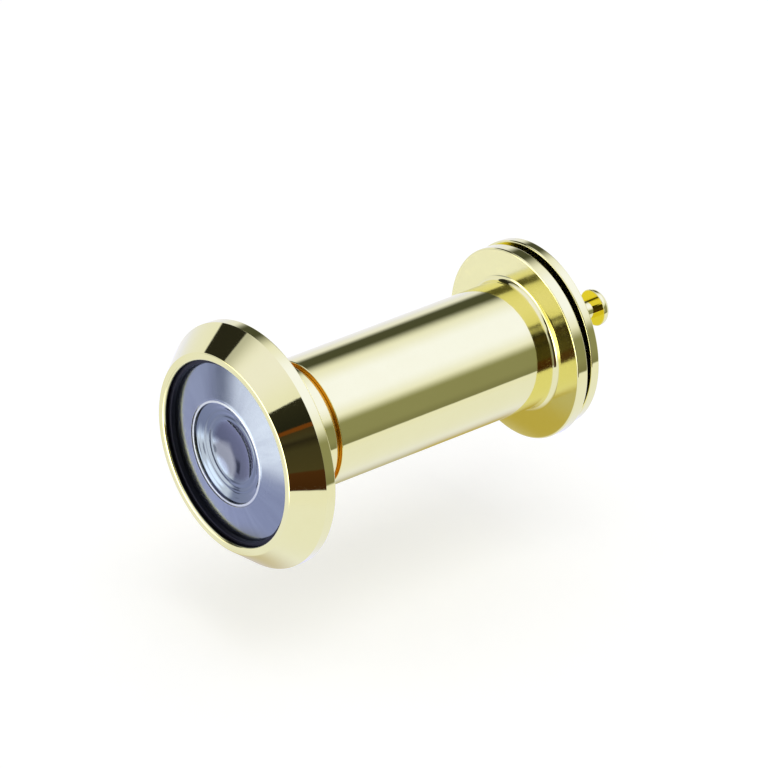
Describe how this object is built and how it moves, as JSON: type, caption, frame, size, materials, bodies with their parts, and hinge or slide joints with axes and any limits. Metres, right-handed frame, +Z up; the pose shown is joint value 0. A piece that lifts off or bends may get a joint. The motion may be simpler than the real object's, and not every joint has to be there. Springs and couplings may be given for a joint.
{
  "type": "door viewer",
  "caption": "Brass door viewer: a conical head with a wide-angle lens, a barrel that screws out to suit the door, and a swivel cover with a knob over the eyepiece.",
  "frame": {"origin": "on the optical axis, in the back face of the outer head, which rests on the outside of the door", "axes": "+Y along the optical axis from the outer lens towards the eye inside, +Z up, +X to the right seen from outside the door"},
  "size_m": [0.0266, 0.0458, 0.0266],
  "materials": {
    "polished_brass": "polished",
    "black_plastic": "satin",
    "black_rubber": "matt",
    "coated_glass": "coated",
    "spring_steel": "satin"
  },
  "bodies": {
    "outer": {"outer_body": "polished_brass", "retaining_ring": "black_plastic", "front_lens": "coated_glass", "lens_gasket": "black_rubber", "front_spacer": "black_plastic", "second_lens": "coated_glass", "aperture_disc": "black_plastic", "rear_spacer": "black_plastic", "third_lens": "coated_glass"},
    "eyepiece": {"eyepiece_gasket": "black_rubber", "eyepiece_lens": "coated_glass"},
    "sleeve": {"inner_sleeve": "polished_brass", "eyepiece_ring": "polished_brass", "pivot_rivet": "polished_brass", "pivot_spacer": "polished_brass", "spring_washer": "spring_steel"},
    "cover": {"privacy_cover": "polished_brass", "cover_knob": "polished_brass"}
  },
  "joints": [
    {"name": "sleeve_travel", "type": "slide", "parent": "outer", "child": "eyepiece", "axis": [0, 1, 0], "range_m": [0, 0.02]},
    {"name": "sleeve_turn", "type": "hinge", "parent": "eyepiece", "child": "sleeve", "pos_m": [0, 0.02, 0], "axis": [0, 1, 0], "range_deg": [0, 7200]},
    {"name": "cover_swing", "type": "hinge", "parent": "sleeve", "child": "cover", "pos_m": [-0.00701, 0.0366, -0.00473], "axis": [0, 1, 0], "continuous": true}
  ],
  "couplings": [
    {"joint": "sleeve_travel", "follows": "sleeve_turn", "m_per_rad": 0.00015915}
  ]
}
